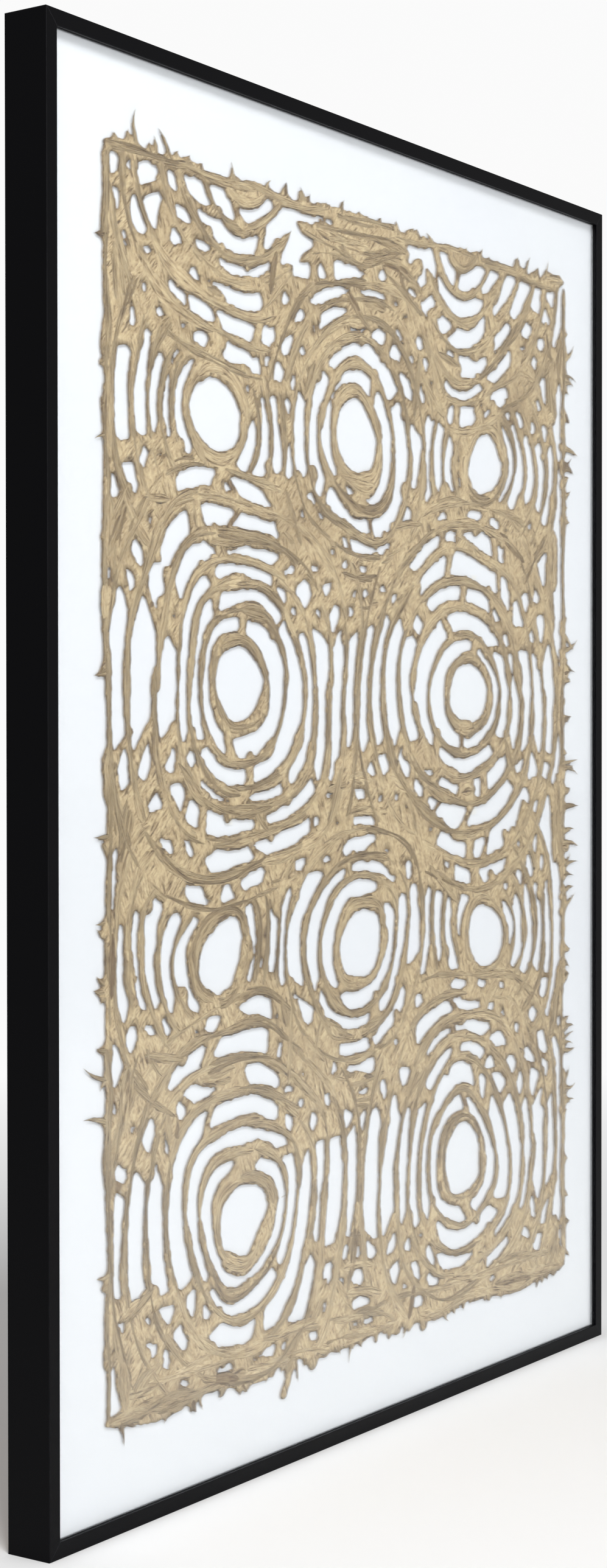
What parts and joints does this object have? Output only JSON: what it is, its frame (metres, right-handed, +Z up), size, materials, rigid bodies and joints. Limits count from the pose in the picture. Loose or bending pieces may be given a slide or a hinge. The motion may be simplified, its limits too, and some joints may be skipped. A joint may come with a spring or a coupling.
{
  "type": "framed bark paper lace art",
  "caption": "Tall shadow-box frame, mitred and glazed, with a lace sheet of beaten bark strips in concentric rings floated on a pale mount.",
  "frame": {"origin": "bottom centre of the whole piece, halfway through its depth", "axes": "+X to the right seen from the front, +Y from the front face towards the wall, +Z up along the height"},
  "size_m": [0.92, 0.044, 1.2],
  "materials": {
    "black_moulding": "satin",
    "black_spacer": "matte",
    "pale_pine": "matte",
    "clear_glass": "polished",
    "white_mount": "matte",
    "brown_hardboard": "matte",
    "tan_bark": "matte",
    "white_foam": "matte",
    "zinc_steel": "satin",
    "grey_rubber": "matte"
  },
  "bodies": {
    "root": {"rail_top": "black_moulding", "rail_bottom": "black_moulding", "rail_left": "black_moulding", "rail_right": "black_moulding", "spacer_top": "black_spacer", "spacer_bottom": "black_spacer", "spacer_left": "black_spacer", "spacer_right": "black_spacer", "strainer_top": "pale_pine", "strainer_bottom": "pale_pine", "strainer_left": "pale_pine", "strainer_right": "pale_pine", "glass_pane": "clear_glass", "mount_board": "white_mount", "backing_board": "brown_hardboard", "bark_lace": "tan_bark", "lace_pads": "white_foam", "hanger_left": "zinc_steel", "hanger_right": "zinc_steel", "bumper_left": "grey_rubber", "bumper_right": "grey_rubber", "strainer_brads": "zinc_steel", "corner_vnails": "zinc_steel"}
  },
  "joints": []
}
